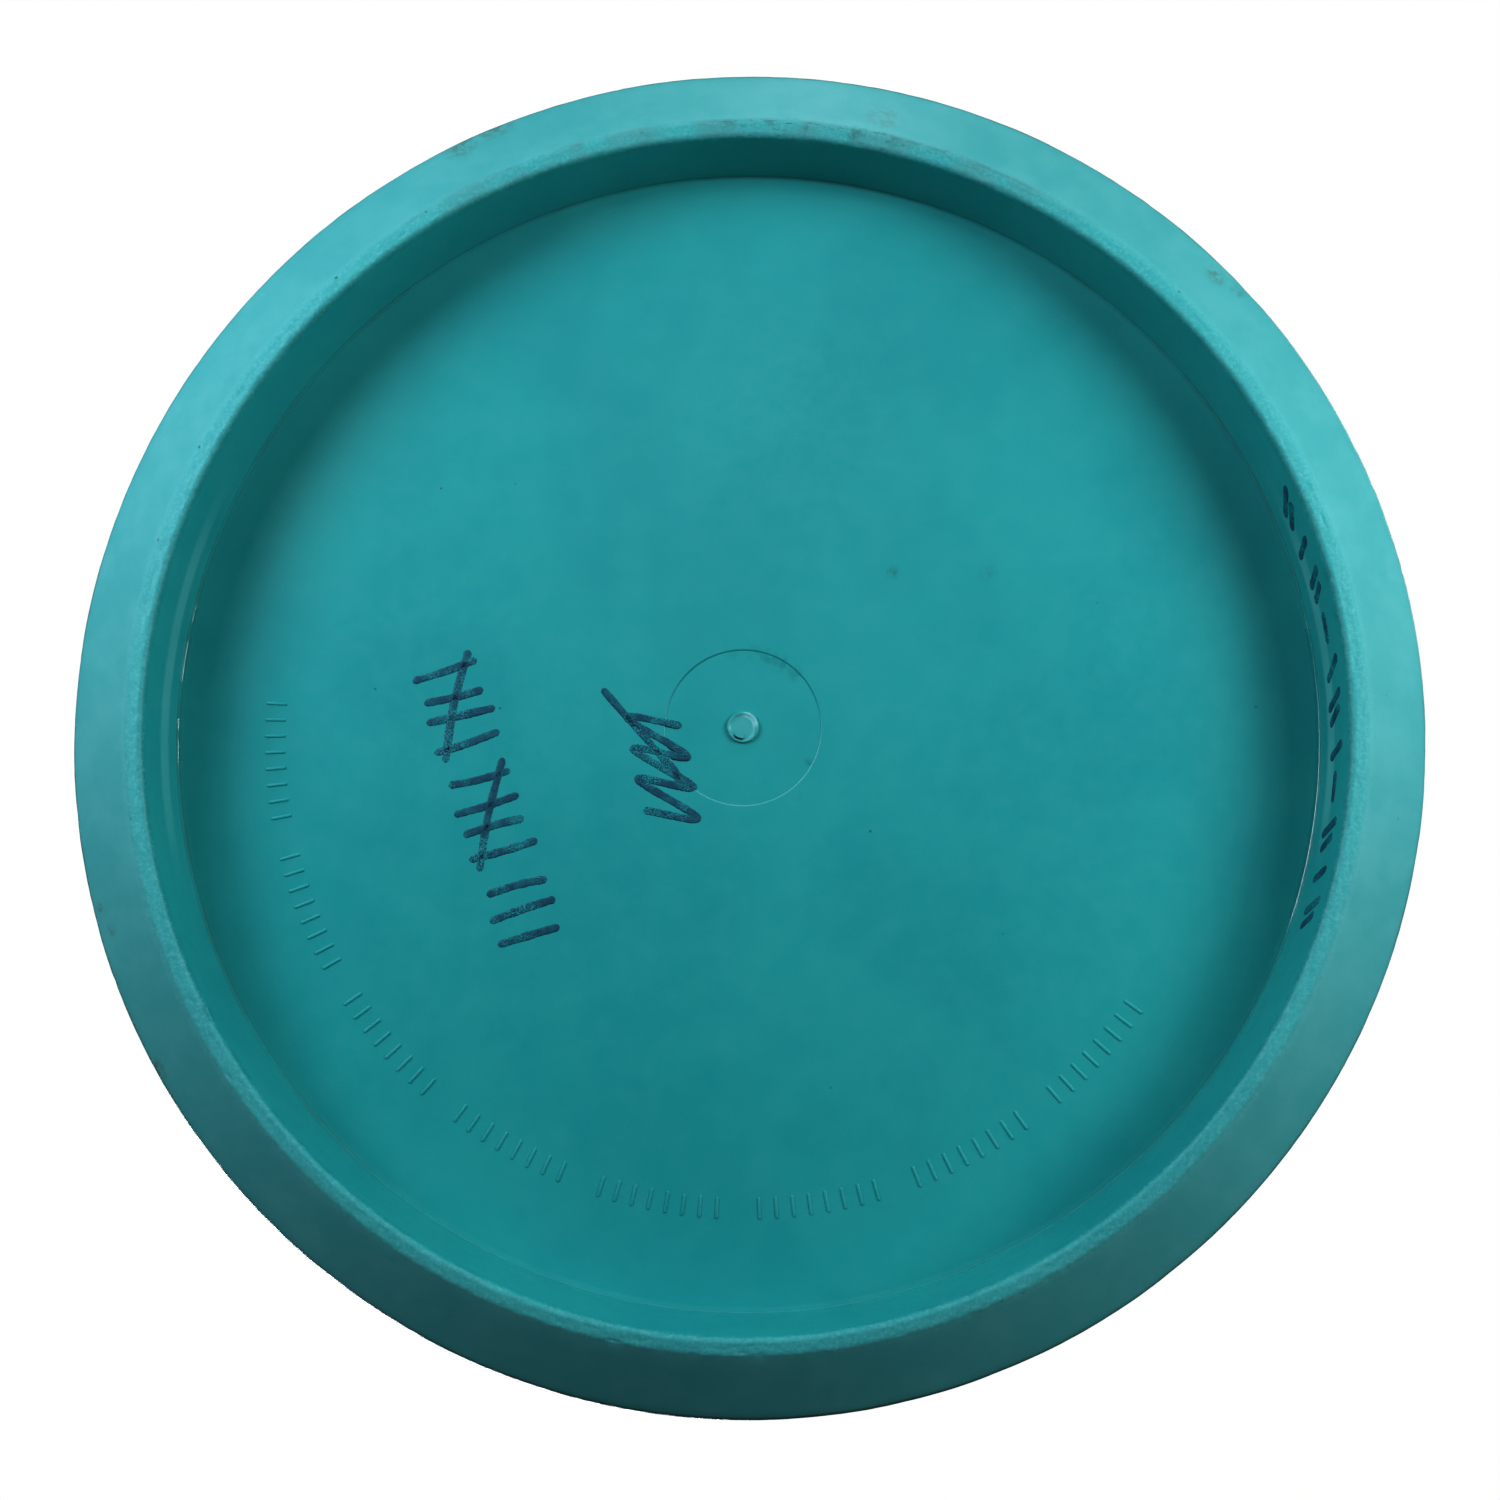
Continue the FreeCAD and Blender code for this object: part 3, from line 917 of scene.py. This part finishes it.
def marker_ink():
    """Dry marker ink, patchy where the pen skipped, so that the plastic shows through in fine dots."""
    n = Nodes("marker_ink")
    skip = n.noise(4200, 3, 0.7)
    dry = n.ramp(n.noise(240, 3), 0.40, 0.64, 0.12, 0.95)
    thin = n.times(n.ramp(skip, 0.47, 0.58), dry)
    thin = n.math("ADD", thin, n.ramp(n.noise(420, 2), 0.45, 0.72, 0.0, 0.22), clamp=True)
    n.put(n.mix(thin, INK, TEAL_DEEP), n.bsdf.inputs["Base Color"])
    n.put(n.ramp(skip, 0.3, 0.7, 0.40, 0.60), n.bsdf.inputs["Roughness"])
    n.bsdf.inputs["Specular IOR Level"].default_value = 0.3
    n.put(n.bump(skip, 0.2, 0.02 * MM), n.bsdf.inputs["Normal"])
    return n.material


# ---------------------------------------------------------------- putting the disc together
PLASTIC = disc_plastic()
MARKER = marker_ink()

for piece, node in ((make_rim(), "rim"), (make_plate(), "flight_plate"), (make_pad(), "gate_pad"),
                    (make_stub(), "gate_stub"), (make_marks(), "raised_marks")):
    piece.data.materials.append(PLASTIC)
    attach(piece, "root")
    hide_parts(node)

for piece in (make_strokes("marker_tally", tally_strokes(), TALLY_WIDTH, on_plate, TALLY_SEED),
              make_strokes("marker_scribble", scribble_strokes(), SCRIBBLE_WIDTH, on_plate, SCRIBBLE_SEED),
              make_strokes("marker_wall_ticks", wall_strokes(), WALL_TICK_WIDTH, on_wall, WALL_TICK_SEED)):
    piece.data.materials.append(MARKER)
    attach(piece, "root")


# ---------------------------------------------------------------- stage, lights and camera
FLOOR_REACH = 12.0
FLOOR_DROP = 0.1 * MM
FLOOR_PALE = (0.80, 0.80, 0.79)
FLOOR_PALER = (0.83, 0.83, 0.82)
FLOOR_SHADE = (0.10, 0.10, 0.10)
FLOOR_SHADE_INNER = 0.92 * OUTER_RADIUS
FLOOR_SHADE_OUTER = 1.20 * OUTER_RADIUS
COOL = (0.97, 1.0, 1.08)
COOLER = (0.95, 1.0, 1.14)
UP = (0.0, 1.0, 0.001)

# Lamps under the disc: (name, angle seen from below, elevation, distance, width, watts, colour).
LAMPS_UNDER = (
    ("lamp_left_near", 149, 34, 0.28, 0.16, 0.36, COOLER),
    ("lamp_left_far", 161, 38, 0.50, 0.20, 0.66, COOLER),
    ("lamp_right_near", 19, 34, 0.28, 0.16, 0.38, COOL),
    ("lamp_right_far", 0, 38, 0.50, 0.20, 0.70, COOL),
    ("lamp_ahead_low", 84, 12, 0.28, 0.08, 0.12, COOL),
    ("lamp_ahead_high", 90, 66, 0.28, 0.10, 0.062, COOL),
)
# Lamps over the disc, for the views from above: (name, place, width, watts).
LAMPS_OVER = (
    ("lamp_over_front", (0.5, -0.6, 1.1), 0.7, 5),
    ("lamp_over_side", (-0.9, 0.5, 0.8), 0.6, 3),
)
SKY_PLACE = (0.35, -0.45, 1.0)
SKY_STRENGTH = 3.4
SKY_SPREAD = math.radians(32)
WORLD_FILL = 0.008

CAMERA_PLACE = (-0.01032, -0.03153, -0.25452)
CAMERA_TARGET = (-0.00142, -0.00452, NOSE_HEIGHT)
CAMERA_LENS = 40.4
VIEW_GAMMA = 0.71


def make_floor():
    """A pale flat floor with a painted shadow where the disc stands, seen from above only and wide enough for
    a horizon.
    """
    reach = np.concatenate([[0.0], np.geomspace(0.2, FLOOR_REACH, 8)])
    section = np.stack([reach, np.full(len(reach), -FLOOR_DROP)], 1)
    angle, radius, height = turned_grid(section, FLOOR_SEGMENTS)
    floor = new_piece("floor", *turned_mesh(angle, radius, height, closed=False), sharp_degrees=180)
    floor.data.flip_normals()
    n = Nodes("pale_floor")
    # A painted contact shadow: the floor is darker in a ring round where the disc stands.
    shade = n.fade(n.vector("LENGTH", n.place), FLOOR_SHADE_INNER, FLOOR_SHADE_OUTER, 0.85)
    pale = n.mix(n.noise(9, 3), FLOOR_PALE, FLOOR_PALER)
    n.put(n.mix(shade, pale, FLOOR_SHADE), n.bsdf.inputs["Base Color"])
    n.bsdf.inputs["Roughness"].default_value = 0.8
    clear = n.tree.nodes.new("ShaderNodeBsdfTransparent")
    sides = n.tree.nodes.new("ShaderNodeMixShader")
    facing = n.tree.nodes.new("ShaderNodeNewGeometry")
    n.tree.links.new(facing.outputs["Backfacing"], sides.inputs["Fac"])
    n.tree.links.new(n.bsdf.outputs["BSDF"], sides.inputs[1])
    n.tree.links.new(clear.outputs["BSDF"], sides.inputs[2])
    n.tree.links.new(sides.outputs["Shader"], n.tree.nodes["Material Output"].inputs["Surface"])
    floor.data.materials.append(n.material)
    floor.visible_shadow = False
    floor.visible_diffuse = False
    floor.visible_glossy = False


def look_at(thing, place, target, up):
    """Stands a thing at a place, facing the target."""
    back = (Vector(place) - Vector(target)).normalized()
    right = Vector(up).cross(back).normalized()
    turn = Matrix((right, back.cross(right), back)).transposed().to_4x4()
    thing.matrix_world = Matrix.Translation(Vector(place)) @ turn


def place_lamp(lamp, place):
    """Puts a lamp in the scene, aimed at the middle of the disc."""
    thing = bpy.data.objects.new(lamp.name, lamp)
    bpy.context.scene.collection.objects.link(thing)
    look_at(thing, place, CENTRE, UP)
    return thing


def area_light(name, place, size, watts, colour=(1, 1, 1)):
    lamp = bpy.data.lights.new(name, "AREA")
    lamp.shape = "DISK"
    lamp.size = size
    lamp.energy = watts
    lamp.color = colour
    place_lamp(lamp, place).visible_camera = False


def sky_light(name, place, strength, spread):
    """Even, soft light from above, which lights only what faces up."""
    lamp = bpy.data.lights.new(name, "SUN")
    lamp.energy = strength
    lamp.angle = spread
    place_lamp(lamp, place)


def place_under(degrees, elevation, distance):
    """A place under the disc, by its angle seen from below (0 to -X, 90 to +Y) and its elevation."""
    a, e = math.radians(degrees), math.radians(elevation)
    return (-distance * math.cos(e) * math.cos(a), distance * math.cos(e) * math.sin(a),
            NOSE_HEIGHT - distance * math.sin(e))


def make_camera():
    data = bpy.data.cameras.new("camera")
    data.lens = CAMERA_LENS
    camera = bpy.data.objects.new("camera", data)
    bpy.context.scene.collection.objects.link(camera)
    look_at(camera, CAMERA_PLACE, CAMERA_TARGET, (0, 1, 0))
    bpy.context.scene.camera = camera


def make_world():
    """White where the camera sees it, and only a faint fill as light."""
    world = bpy.data.worlds.new("studio")
    world.use_nodes = True
    tree = world.node_tree
    background = tree.nodes["Background"]
    background.inputs["Color"].default_value = (1, 1, 1, 1)
    background.inputs["Strength"].default_value = WORLD_FILL
    seen = tree.nodes.new("ShaderNodeBackground")
    seen.inputs["Color"].default_value = (1, 1, 1, 1)
    ray = tree.nodes.new("ShaderNodeLightPath")
    mix = tree.nodes.new("ShaderNodeMixShader")
    tree.links.new(ray.outputs["Is Camera Ray"], mix.inputs["Fac"])
    tree.links.new(background.outputs["Background"], mix.inputs[1])
    tree.links.new(seen.outputs["Background"], mix.inputs[2])
    tree.links.new(mix.outputs["Shader"], tree.nodes["World Output"].inputs["Surface"])
    bpy.context.scene.world = world


make_floor()
make_camera()
make_world()
for name, degrees, elevation, distance, size, watts, colour in LAMPS_UNDER:
    area_light(name, place_under(degrees, elevation, distance), size, watts, colour)
for name, place, size, watts in LAMPS_OVER:
    area_light(name, place, size, watts)
sky_light("lamp_over_all", SKY_PLACE, SKY_STRENGTH, SKY_SPREAD)
view = bpy.context.scene.view_settings
view.view_transform = "Standard"
view.gamma = VIEW_GAMMA
